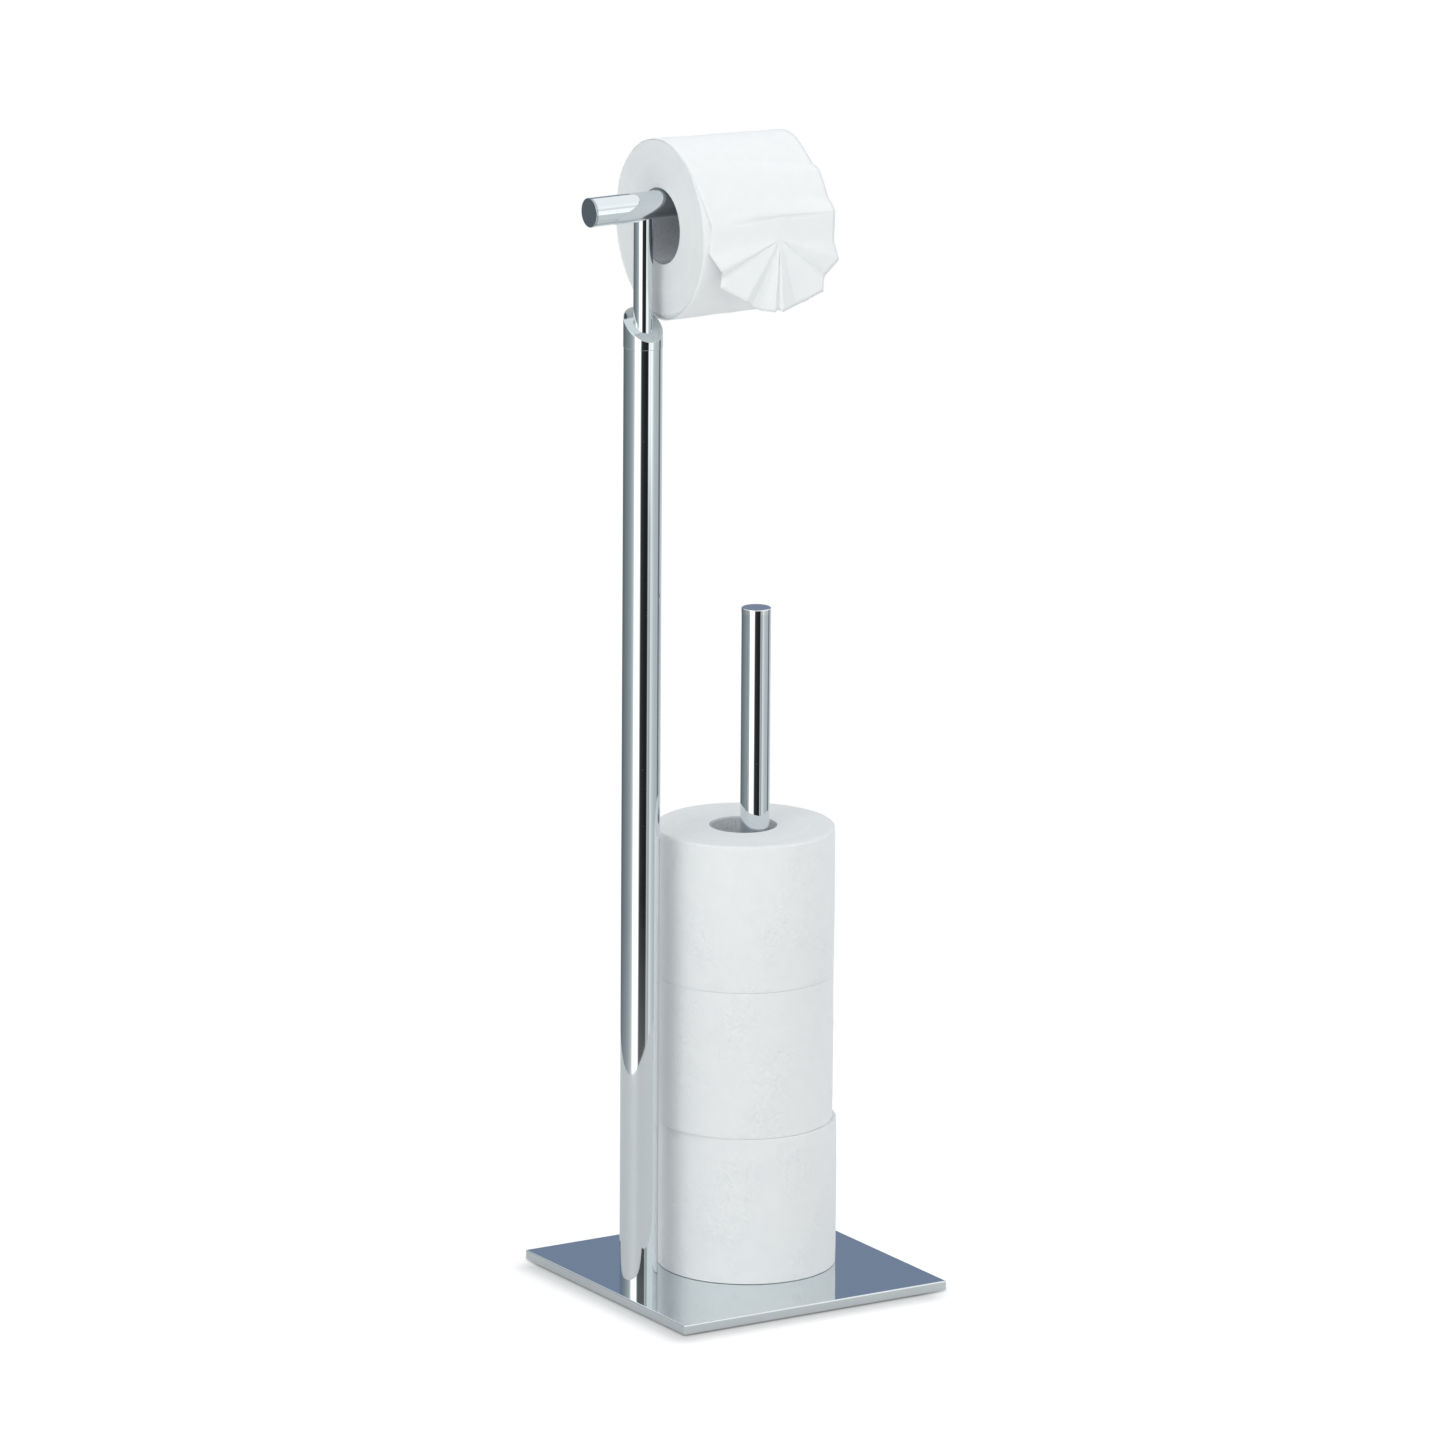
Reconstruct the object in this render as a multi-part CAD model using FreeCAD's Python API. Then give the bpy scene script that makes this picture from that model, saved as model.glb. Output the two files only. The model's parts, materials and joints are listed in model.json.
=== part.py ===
import FreeCAD, Part
import math
import os

# A free-standing toilet roll stand: a square plate, a tall tube with a T-shaped arm for the roll in
# use, and a short post for three spare rolls. Millimetres, +Z up. The origin is on the floor, under
# the middle of the plate. +X runs from the tall tube towards the post, and -Y is the front.

Vector = FreeCAD.Vector
UP = Vector(0, 0, 1)
ALONG_X = Vector(1, 0, 0)

# ---- driving dimensions -------------------------------------------------------------------------
SEAT_GAP = 0.04  # radial gap of a plug, spigot or thread that is fixed in its hole
RUN_GAP = 0.05  # radial gap of the rod in the two bores that it turns in
SIDE_GAP = 0.3  # gap between pieces that move past each other

PAD_THICK = 1.0
PAD_INSET = 4.0  # how far the pad stays back from the plate's edge
PAD_CORNER_R = 4.0
PLATE_SIDE = 200.0
PLATE_THICK = 6.0
PLATE_CORNER_R = 1.0
PLATE_EDGE_R = 0.8

TUBE_WALL = 1.0
STAND_X = -74.0
STAND_R = 12.5
STAND_TOP = 629.0
COLLAR_R = 12.7
COLLAR_MID_Z = 643.7  # where the slanted face crosses the tube's axis
COLLAR_SLOPE_DEG = 36.6
COLLAR_SPIGOT = 14.0
COLLAR_EDGE_R = 0.3
BUSH_BOTTOM = 575.0
BUSH_LENGTH = 20.0

ROD_R = 6.35
ROD_WALL = 1.2
BAR_R = 9.5
BAR_Z = 720.4
BAR_NEAR_X = -114.7
BAR_LENGTH = 160.0

POST_X = 12.6
POST_R = 9.5
POST_TOP = 447.7
POST_CAP_THICK = 3.3
POST_CAP_R = 9.6
POST_CAP_EDGE_R = 0.5

INSERT_LENGTH = 22.0
CAP_THICK = 1.5
CAP_SPIGOT = 8.0
CAP_EDGE_R = 0.3

M8_R = 4.0
M6_R = 3.0
SCREW_CLEARANCE = 0.3  # radial gap of a screw in a plain hole
HEAD_RATIO = 2.0  # a countersunk head's radius over its thread's radius
HEAD_RECESS = 0.4  # how deep the heads sit in the plate
SOCKET_RATIO = 0.6  # the hexagon socket's radius over the thread's radius
SCREW_GRIP = 12.0  # how far a base screw reaches into its insert

NUT_LENGTH = 20.0
PLUG_LENGTH = 16.0
STUD_TOP_ABOVE_BAR = 3.0  # above the bar's axis
WASHER_R = 9.0
WASHER_THICK = 1.6
SPRING_WASHER_R = 10.0
SPRING_WASHER_THICK = 0.9
SPRING_WASHER_BORE_R = 6.6
BUTTON_HEAD_R = 5.2
BUTTON_HEAD_THICK = 3.3

CORE_WALL = 1.0
CORE_INSET = 0.4  # how far a core's ends lie inside the winding
ROLL_R = 56.7
ROLL_CORE_R = 23.7
ROLL_LEFT_X = -61.0
ROLL_LENGTH = 97.0

SPARE_R = 58.7
SPARE_CORE_R = 21.0
SPARE_PITCH = 98.0
SPARE_X = 10.0
SPARE_Y = 9.9
SPARE_NAMES = ["spare_bottom", "spare_middle", "spare_top"]

TAIL_THICK = 1.5
TAIL_CREASE_Z = 717.5
FAN_X = -7.5
FAN_Z = 702.8  # where the fan's pleats meet
FAN_R = 48.0
FAN_HALF_DEG = 68.0
FAN_SIDES = 8

# ---- derived places -----------------------------------------------------------------------------
PLATE_TOP = PAD_THICK + PLATE_THICK
BAR_FAR_X = BAR_NEAR_X + BAR_LENGTH
ROLL_Z = BAR_Z + BAR_R + SIDE_GAP - ROLL_CORE_R  # the core hangs on the bar's top
ROD_BOTTOM = BUSH_BOTTOM - SPRING_WASHER_THICK - 2 * RUN_GAP
BAR_UNDERSIDE = BAR_Z - BAR_R


def cylinder(radius, start, length, axis=UP):
    return Part.makeCylinder(radius, length, start, axis)


def ring(outer_r, inner_r, start, length, axis=UP):
    """A tube from start along the axis."""
    return cylinder(outer_r, start, length, axis).cut(cylinder(inner_r, start, length, axis))


def hexagon(radius, start, depth):
    corners = [
        start + Vector(radius * math.cos(math.radians(60 * i)), radius * math.sin(math.radians(60 * i)), 0)
        for i in range(7)
    ]
    return Part.Face(Part.makePolygon(corners)).extrude(Vector(0, 0, depth))


def edges_at_height(shape, z):
    """The edges that lie wholly at one height."""
    tolerance = 1e-4
    return [
        e for e in shape.Edges if abs(e.BoundBox.ZMin - z) < tolerance and abs(e.BoundBox.ZMax - z) < tolerance
    ]


def outer_edge(shape, z, radius):
    """The round edge of one radius at one height."""
    tolerance = 1e-3
    return [e for e in edges_at_height(shape, z) if abs(e.Curve.Radius - radius) < tolerance]


# ---- base ---------------------------------------------------------------------------------------
BASE_SCREWS = [(STAND_X, M8_R), (POST_X, M6_R)]


def head_cone(x, thread_r, gap):
    """A countersunk head's cone, widest at the plate's underside, gap smaller all round."""
    head_r = HEAD_RATIO * thread_r
    depth = head_r - thread_r
    return Part.makeCone(head_r - gap, thread_r - gap, depth, Vector(x, 0, PAD_THICK + HEAD_RECESS), UP)


def base_plate():
    half = PLATE_SIDE / 2
    plate = Part.makeBox(PLATE_SIDE, PLATE_SIDE, PLATE_THICK, Vector(-half, -half, PAD_THICK))
    upright = [e for e in plate.Edges if e.BoundBox.ZLength > PLATE_THICK / 2]
    plate = plate.makeFillet(PLATE_CORNER_R, upright)
    plate = plate.makeFillet(PLATE_EDGE_R, edges_at_height(plate, PLATE_TOP))
    for x, thread_r in BASE_SCREWS:
        start = Vector(x, 0, PAD_THICK)
        plate = plate.cut(cylinder(thread_r + SCREW_CLEARANCE, start, PLATE_THICK))
        plate = plate.cut(cylinder(HEAD_RATIO * thread_r, start, HEAD_RECESS))
        plate = plate.cut(head_cone(x, thread_r, 0))
    return plate


def base_pad():
    """The pad under the plate, open under both screws so that they can be tightened."""
    side = PLATE_SIDE - 2 * PAD_INSET
    pad = Part.makeBox(side, side, PAD_THICK, Vector(-side / 2, -side / 2, 0))
    pad = pad.makeFillet(PAD_CORNER_R, [e for e in pad.Edges if e.BoundBox.ZLength > PAD_THICK / 2])
    for x, thread_r in BASE_SCREWS:
        pad = pad.cut(cylinder(HEAD_RATIO * thread_r, Vector(x, 0, 0), PAD_THICK))
    return pad


def base_screw(x, thread_r):
    """A countersunk socket screw, its thread as a plain shank of the thread's outer radius."""
    bottom = PAD_THICK + HEAD_RECESS
    length = PLATE_TOP - bottom + SCREW_GRIP
    screw = head_cone(x, thread_r, SEAT_GAP).fuse(cylinder(thread_r, Vector(x, 0, bottom), length))
    return screw.cut(hexagon(SOCKET_RATIO * thread_r, Vector(x, 0, bottom), thread_r)).removeSplitter()


def foot_insert(x, tube_r, thread_r):
    """A tapped plug in a tube's bottom end."""
    return ring(
        tube_r - TUBE_WALL - SEAT_GAP, thread_r + SEAT_GAP, Vector(x, 0, PLATE_TOP), INSERT_LENGTH
    )


# ---- tall tube, collar and bush -----------------------------------------------------------------
def collar():
    """The tube's top fitting: a slanted head, a spigot down into the tube, and the rod's upper bore."""
    seam = Vector(STAND_X, 0, STAND_TOP)
    rise = COLLAR_R * math.tan(math.radians(COLLAR_SLOPE_DEG))
    head = cylinder(COLLAR_R, seam, COLLAR_MID_Z + rise - STAND_TOP)
    cutter_side = 6 * COLLAR_R
    above = Part.makeBox(
        cutter_side, cutter_side, cutter_side, Vector(-cutter_side / 2, -cutter_side / 2, 0)
    )
    above.rotate(Vector(0, 0, 0), ALONG_X, COLLAR_SLOPE_DEG)
    above.translate(Vector(STAND_X, 0, COLLAR_MID_Z))
    head = head.cut(above)
    slanted = [e for e in head.Edges if e.BoundBox.ZLength > rise and not isinstance(e.Curve, Part.Line)]
    head = head.makeFillet(COLLAR_EDGE_R, slanted)
    head = head.makeChamfer(COLLAR_EDGE_R, outer_edge(head, STAND_TOP, COLLAR_R))
    spigot_r = STAND_R - TUBE_WALL - SEAT_GAP
    spigot = cylinder(spigot_r, seam - Vector(0, 0, COLLAR_SPIGOT), COLLAR_SPIGOT)
    bore = cylinder(ROD_R + RUN_GAP, seam - Vector(0, 0, COLLAR_SPIGOT), COLLAR_SPIGOT + 2 * COLLAR_MID_Z)
    return head.fuse(spigot).cut(bore).removeSplitter()


def guide_bush():
    return ring(
        STAND_R - TUBE_WALL - SEAT_GAP, ROD_R + RUN_GAP, Vector(STAND_X, 0, BUSH_BOTTOM), BUSH_LENGTH
    )


# ---- spare roll post ----------------------------------------------------------------------------
def post_cap():
    seam = POST_TOP - POST_CAP_THICK
    disc = cylinder(POST_CAP_R, Vector(POST_X, 0, seam), POST_CAP_THICK)
    disc = disc.makeFillet(POST_CAP_EDGE_R, outer_edge(disc, POST_TOP, POST_CAP_R))
    spigot_r = POST_R - TUBE_WALL - SEAT_GAP
    return disc.fuse(cylinder(spigot_r, Vector(POST_X, 0, seam - CAP_SPIGOT), CAP_SPIGOT))


# ---- arm ----------------------------------------------------------------------------------------
def arm_rod():
    """The rod's tube, its top end coped to the bar's underside."""
    rod = ring(ROD_R, ROD_R - ROD_WALL, Vector(STAND_X, 0, ROD_BOTTOM), BAR_Z - ROD_BOTTOM)
    return rod.cut(cylinder(BAR_R + SEAT_GAP, Vector(BAR_NEAR_X, 0, BAR_Z), BAR_LENGTH, ALONG_X))


def rod_plug(bottom):
    """A tapped plug inside the rod."""
    return ring(ROD_R - ROD_WALL - SEAT_GAP, M6_R + SEAT_GAP, Vector(STAND_X, 0, bottom), PLUG_LENGTH)


def arm_stud():
    bottom = BAR_UNDERSIDE - PLUG_LENGTH
    return cylinder(M6_R, Vector(STAND_X, 0, bottom), BAR_Z + STUD_TOP_ABOVE_BAR - bottom)


def bar_nut():
    """A round slug in the bar, with a tapped blind hole from beneath."""
    slug_r = BAR_R - TUBE_WALL - SEAT_GAP
    slug = cylinder(slug_r, Vector(STAND_X - NUT_LENGTH / 2, 0, BAR_Z), NUT_LENGTH, ALONG_X)
    depth = slug_r + STUD_TOP_ABOVE_BAR + SEAT_GAP
    return slug.cut(cylinder(M6_R + SEAT_GAP, Vector(STAND_X, 0, BAR_Z - slug_r), depth))


def arm_bar():
    """The bar's tube between its caps, with the stud's hole in its underside."""
    tube = ring(
        BAR_R,
        BAR_R - TUBE_WALL,
        Vector(BAR_NEAR_X + CAP_THICK, 0, BAR_Z),
        BAR_LENGTH - 2 * CAP_THICK,
        ALONG_X,
    )
    return tube.cut(cylinder(M6_R + SCREW_CLEARANCE, Vector(STAND_X, 0, BAR_UNDERSIDE), BAR_R))


def bar_end_cap(outer_x, inward):
    """A flush cap: a disc with a softened rim, and a spigot into the bar."""
    disc = cylinder(BAR_R, Vector(outer_x, 0, BAR_Z), CAP_THICK, inward)
    rim = [
        e
        for e in disc.Edges
        if e.BoundBox.XLength < SEAT_GAP and abs(e.BoundBox.XMin - outer_x) < SEAT_GAP
    ]
    disc = disc.makeFillet(CAP_EDGE_R, rim)
    spigot_r = BAR_R - TUBE_WALL - SEAT_GAP
    start = Vector(outer_x, 0, BAR_Z) + inward * CAP_THICK
    return disc.fuse(cylinder(spigot_r, start, CAP_SPIGOT, inward))


def swivel_spring_washer():
    start = Vector(STAND_X, 0, BUSH_BOTTOM - RUN_GAP - SPRING_WASHER_THICK)
    return ring(SPRING_WASHER_R, SPRING_WASHER_BORE_R, start, SPRING_WASHER_THICK)


def swivel_washer():
    start = Vector(STAND_X, 0, ROD_BOTTOM - WASHER_THICK)
    return ring(WASHER_R, M6_R + SCREW_CLEARANCE, start, WASHER_THICK)


def swivel_screw():
    """A button-head screw up into the rod's bottom plug."""
    head_top = ROD_BOTTOM - WASHER_THICK
    head = cylinder(BUTTON_HEAD_R, Vector(STAND_X, 0, head_top - BUTTON_HEAD_THICK), BUTTON_HEAD_THICK)
    head = head.makeFillet(
        BUTTON_HEAD_THICK / 2, outer_edge(head, head_top - BUTTON_HEAD_THICK, BUTTON_HEAD_R)
    )
    shank = cylinder(M6_R, Vector(STAND_X, 0, head_top), WASHER_THICK + PLUG_LENGTH / 2)
    socket = hexagon(
        SOCKET_RATIO * M6_R, Vector(STAND_X, 0, head_top - BUTTON_HEAD_THICK), BUTTON_HEAD_THICK / 2
    )
    return head.fuse(shank).cut(socket)


# ---- rolls --------------------------------------------------------------------------------------
def winding_and_core(outer_r, core_r, start, length, axis):
    """A roll: the winding, and the cardboard core just inside its ends."""
    winding = ring(outer_r, core_r + CORE_WALL + SEAT_GAP, start, length, axis)
    core = ring(core_r + CORE_WALL, core_r, start + axis * CORE_INSET, length - 2 * CORE_INSET, axis)
    return winding, core


def paper_tail():
    """The free end as one flat flap down the roll's front: a full-width top and a fan's outline."""
    front = Vector(0, -ROLL_R - SIDE_GAP, 0)
    outline = [
        front + Vector(ROLL_LEFT_X, 0, TAIL_CREASE_Z),
        front + Vector(ROLL_LEFT_X + ROLL_LENGTH, 0, TAIL_CREASE_Z),
    ]
    for i in range(FAN_SIDES + 1):
        turn = math.radians(FAN_HALF_DEG * (1 - 2 * i / FAN_SIDES))
        outline.append(front + Vector(FAN_X + FAN_R * math.sin(turn), 0, FAN_Z - FAN_R * math.cos(turn)))
    outline.append(outline[0])
    return Part.Face(Part.makePolygon(outline)).extrude(Vector(0, -TAIL_THICK, 0))


# ---- every piece by its name --------------------------------------------------------------------
def stand_pieces():
    return {
        "base_plate": base_plate(),
        "base_pad": base_pad(),
        "stand_tube": ring(
            STAND_R, STAND_R - TUBE_WALL, Vector(STAND_X, 0, PLATE_TOP), STAND_TOP - PLATE_TOP
        ),
        "stand_foot_insert": foot_insert(STAND_X, STAND_R, M8_R),
        "stand_screw": base_screw(STAND_X, M8_R),
        "collar": collar(),
        "guide_bush": guide_bush(),
        "post_tube": ring(
            POST_R,
            POST_R - TUBE_WALL,
            Vector(POST_X, 0, PLATE_TOP),
            POST_TOP - POST_CAP_THICK - PLATE_TOP,
        ),
        "post_foot_insert": foot_insert(POST_X, POST_R, M6_R),
        "post_screw": base_screw(POST_X, M6_R),
        "post_cap": post_cap(),
    }


def arm_pieces():
    return {
        "arm_rod": arm_rod(),
        "rod_top_plug": rod_plug(BAR_UNDERSIDE - PLUG_LENGTH),
        "arm_stud": arm_stud(),
        "bar_nut": bar_nut(),
        "arm_bar": arm_bar(),
        "bar_end_cap_near": bar_end_cap(BAR_NEAR_X, ALONG_X),
        "bar_end_cap_far": bar_end_cap(BAR_FAR_X, -ALONG_X),
        "rod_bottom_plug": rod_plug(ROD_BOTTOM),
        "swivel_spring_washer": swivel_spring_washer(),
        "swivel_washer": swivel_washer(),
        "swivel_screw": swivel_screw(),
    }


def roll_pieces():
    pieces = {}
    left = Vector(ROLL_LEFT_X, 0, ROLL_Z)
    winding, core = winding_and_core(ROLL_R, ROLL_CORE_R, left, ROLL_LENGTH, ALONG_X)
    pieces["roll_paper"] = winding
    pieces["roll_core"] = core
    pieces["paper_tail"] = paper_tail()
    for i, name in enumerate(SPARE_NAMES):
        start = Vector(SPARE_X, SPARE_Y, PLATE_TOP + SIDE_GAP + i * SPARE_PITCH)
        winding, core = winding_and_core(SPARE_R, SPARE_CORE_R, start, SPARE_PITCH - SIDE_GAP, UP)
        pieces[name + "_paper"] = winding
        pieces[name + "_core"] = core
    return pieces


os.makedirs("parts", exist_ok=True)
for pieces in (stand_pieces(), arm_pieces(), roll_pieces()):
    for name, shape in pieces.items():
        shape.exportStep("parts/" + name + ".step")
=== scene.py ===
import json
import math

import bmesh
import bpy
from mathutils import Matrix, Vector, noise


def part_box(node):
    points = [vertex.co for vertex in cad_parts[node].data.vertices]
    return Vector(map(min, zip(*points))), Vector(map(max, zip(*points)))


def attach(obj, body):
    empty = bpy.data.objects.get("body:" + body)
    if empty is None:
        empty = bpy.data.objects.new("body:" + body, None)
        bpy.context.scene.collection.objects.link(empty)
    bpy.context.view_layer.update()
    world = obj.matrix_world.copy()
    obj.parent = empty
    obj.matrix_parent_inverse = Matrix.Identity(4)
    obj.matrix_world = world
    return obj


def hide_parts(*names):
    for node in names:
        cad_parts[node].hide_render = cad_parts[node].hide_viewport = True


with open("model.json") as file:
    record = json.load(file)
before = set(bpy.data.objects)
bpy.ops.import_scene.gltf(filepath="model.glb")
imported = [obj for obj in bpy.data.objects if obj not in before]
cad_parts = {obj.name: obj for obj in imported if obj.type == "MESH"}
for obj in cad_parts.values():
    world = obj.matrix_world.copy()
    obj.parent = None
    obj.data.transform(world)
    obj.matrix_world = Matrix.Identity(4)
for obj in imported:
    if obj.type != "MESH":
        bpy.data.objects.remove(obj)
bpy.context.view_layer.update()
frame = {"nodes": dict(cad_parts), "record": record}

MM = 0.001

# ---- camera -------------------------------------------------------------------------------------
CAMERA_AZIMUTH = math.radians(-31.78)
CAMERA_ELEVATION = math.radians(14.03)
CAMERA_ROLL = math.radians(0.377)
CAMERA_DISTANCE = 7.8715
CAMERA_LENS = 303.65  # mm
CAMERA_TARGET = Vector((-0.0125, 0.0, 0.3742))
SENSOR = 36.0  # mm
CLIP_END = 50.0


def camera_axes():
    """The camera's right, up and backward directions."""
    a, e, r = CAMERA_AZIMUTH, CAMERA_ELEVATION, CAMERA_ROLL
    back = Vector((math.sin(a) * math.cos(e), -math.cos(a) * math.cos(e), math.sin(e)))
    level = Vector((math.cos(a), math.sin(a), 0.0))
    upright = back.cross(level)
    right = math.cos(r) * level + math.sin(r) * upright
    return right, back.cross(right), back


def add_camera():
    """A long lens that looks down on the object a little, with a slight roll."""
    right, up, back = camera_axes()
    data = bpy.data.cameras.new("camera")
    data.lens = CAMERA_LENS
    data.sensor_width = SENSOR
    data.clip_end = CLIP_END
    camera = bpy.data.objects.new("camera", data)
    place = CAMERA_TARGET + back * CAMERA_DISTANCE
    turn = Matrix((right, up, back)).transposed().to_4x4()
    camera.matrix_world = Matrix.Translation(place) @ turn
    bpy.context.scene.collection.objects.link(camera)
    bpy.context.scene.camera = camera


# ---- node helpers -------------------------------------------------------------------------------
def rgba(colour):
    """A colour or a grey level as red, green, blue and 1."""
    if isinstance(colour, (int, float)):
        colour = (colour, colour, colour)
    return (*colour, 1.0)


def dimmed(colour, factor):
    """A colour or a grey level, times a factor."""
    if isinstance(colour, (int, float)):
        return colour * factor
    return [factor * c for c in colour]


class Nodes:
    """Short calls for building a node tree."""

    def __init__(self, tree):
        self.tree = tree

    def set(self, socket, value):
        if isinstance(value, bpy.types.NodeSocket):
            self.tree.links.new(value, socket)
        elif socket.type == "RGBA":
            socket.default_value = rgba(value)
        else:
            socket.default_value = value

    def add(self, kind, inputs=None, **settings):
        node = self.tree.nodes.new(kind)
        for name, value in settings.items():
            setattr(node, name, value)
        for name, value in (inputs or {}).items():
            self.set(node.inputs[name], value)
        return node

    def math(self, operation, a, b=0.0):
        return self.add("ShaderNodeMath", {0: a, 1: b}, operation=operation).outputs[0]

    def dot(self, vector, direction):
        node = self.add("ShaderNodeVectorMath", {0: vector, 1: direction}, operation="DOT_PRODUCT")
        return node.outputs["Value"]

    def moved(self, vector, offset):
        return self.add("ShaderNodeVectorMath", {0: vector, 1: offset}).outputs[0]

    def scaled(self, vector, factors):
        return self.add("ShaderNodeVectorMath", {0: vector, 1: factors}, operation="MULTIPLY").outputs[0]

    def length(self, x, y):
        squares = self.math("ADD", self.math("MULTIPLY", x, x), self.math("MULTIPLY", y, y))
        return self.math("SQRT", squares)

    def joined(self, x, y=0.0, z=0.0):
        return self.add("ShaderNodeCombineXYZ", {0: x, 1: y, 2: z}).outputs[0]

    def ramp(self, value, stops):
        """A colour ramp from (place, colour) stops."""
        node = self.add("ShaderNodeValToRGB", {"Fac": value})
        ramp = node.color_ramp
        while len(ramp.elements) > 1:
            ramp.elements.remove(ramp.elements[-1])
        ramp.elements[0].position, ramp.elements[0].color = stops[0][0], rgba(stops[0][1])
        for place, colour in stops[1:]:
            ramp.elements.new(place).color = rgba(colour)
        return node.outputs["Color"]

    def mix(self, factor, a, b, blend="MIX"):
        node = self.add("ShaderNodeMix", data_type="RGBA", blend_type=blend)
        self.set(node.inputs["Factor"], factor)
        self.set(node.inputs[6], a)
        self.set(node.inputs[7], b)
        return node.outputs[2]

    def noise(self, place, size, detail=3.0, rough=0.5, distortion=0.0):
        """Perlin noise from 0 to 1, whose spots are about size metres across."""
        inputs = {"Vector": place, "Scale": 1 / size, "Detail": detail, "Roughness": rough}
        inputs["Distortion"] = distortion
        return self.add("ShaderNodeTexNoise", inputs).outputs["Fac"]

    def cells(self, place, size, feature="F1"):
        """The distance to the nearest of many scattered points, about size metres apart."""
        inputs = {"Vector": place, "Scale": 1 / size}
        return self.add("ShaderNodeTexVoronoi", inputs, feature=feature).outputs["Distance"]

    def bump(self, height, depth, under=None):
        """A bump from height, 0 to 1, that is depth metres deep, on top of the normal under."""
        inputs = {"Height": height, "Distance": depth, "Strength": 1.0}
        if under is not None:
            inputs["Normal"] = under
        return self.add("ShaderNodeBump", inputs).outputs["Normal"]


# ---- studio -------------------------------------------------------------------------------------
# The studio round the object, as light by direction. A direction's turn is in degrees about +Z, from TOWARDS
# and positive to SIDEWAYS. Its height is the z of its unit vector. The chrome mirrors all of it.
TOWARDS = Vector((math.sin(CAMERA_AZIMUTH), -math.cos(CAMERA_AZIMUTH), 0.0))
SIDEWAYS = Vector((math.cos(CAMERA_AZIMUTH), math.sin(CAMERA_AZIMUTH), 0.0))
STUDIO_RING = [  # (turn, light) between heights of about -0.3 and 0.3, under the dome
    (-180, (0.75, 0.8, 0.82)), (-165, (0.18, 0.2, 0.23)), (-140, (0.18, 0.2, 0.23)),
    (-113, (0.26, 0.3, 0.32)), (-98, (0.3, 0.34, 0.37)), (-84, (0.36, 0.41, 0.44)),
    (-70, (0.45, 0.5, 0.52)), (-58, (0.62, 0.67, 0.69)), (-50, (0.95, 1.0, 1.0)),
    (-44, (2.2, 2.2, 2.2)), (-17, (2.2, 2.2, 2.2)), (-11, (0.9, 0.9, 0.9)),
    (-7, (0.06, 0.06, 0.065)), (4, (0.04, 0.04, 0.042)), (22, (0.02, 0.02, 0.022)),
    (33, (0.035, 0.035, 0.037)), (37, (0.8, 0.84, 0.85)), (41, (0.56, 0.6, 0.62)),
    (47, (0.42, 0.45, 0.46)), (55, (1.1, 1.15, 1.15)), (63, (0.96, 1.0, 1.0)),
    (74, (0.75, 0.8, 0.82)), (92, (0.64, 0.7, 0.72)), (105, (0.68, 0.72, 0.74)),
    (114, (0.2, 0.22, 0.24)), (123, (0.2, 0.23, 0.25)), (134, (0.8, 0.85, 0.87)),
    (180, (0.75, 0.8, 0.82)),
]
RING_LEVEL = 0.81  # all of the ring's light is times this
RING_RANGE = 4.0  # over the ring's brightest light, because a ramp holds only 0 to 1
DOME = (1.24, 1.25, 1.255)  # above the ring
DOME_LEFT = (0.8, 0.82, 0.83)  # above it too, behind on the left
ZENITH = (1.08, 1.09, 1.095)
UNDER = (1.24, 1.25, 1.25)  # from low down, as a pale floor further off gives
UNDER_LEFT = (0.89, 0.92, 0.93)
UNDER_RIGHT = (0.7, 0.74, 0.75)
KEY = (1.65, 1.67, 1.67)  # what the big soft box on the left adds, above the ring
FLARE = 0.75  # what a narrow light in front on the right adds to the ring
RIM = 0.35  # what a low strip of light on the right adds
STRIP = 0.24  # the share that a dimmer strip above it takes away
SLATE = (0.21, 0.265, 0.375)  # a backdrop behind, mirrored by the plate
BACKGROUND = 1.0  # what is seen behind the object


def by_turn(n, turn, stops, value_range=1.0):
    """A ramp over turn, which holds -180 to 180 degrees as 0 to 1, from (degrees, value) stops whose values
    are up to value_range."""
    ramp = n.ramp(turn, [(degrees / 360 + 0.5, dimmed(value, 1 / value_range)) for degrees, value in stops])
    if value_range == 1.0:
        return ramp
    return n.mix(1.0, ramp, value_range, "MULTIPLY")


def by_height(n, height, stops):
    """A ramp over height, which holds -1 to 1 as 0 to 1, from (height, value) stops."""
    return n.ramp(height, [((h + 1) / 2, value) for h, value in stops])


def added(n, light, mask, extra):
    """light with extra added where mask is 1."""
    return n.mix(1.0, light, n.mix(mask, 0.0, extra), "ADD")


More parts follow.
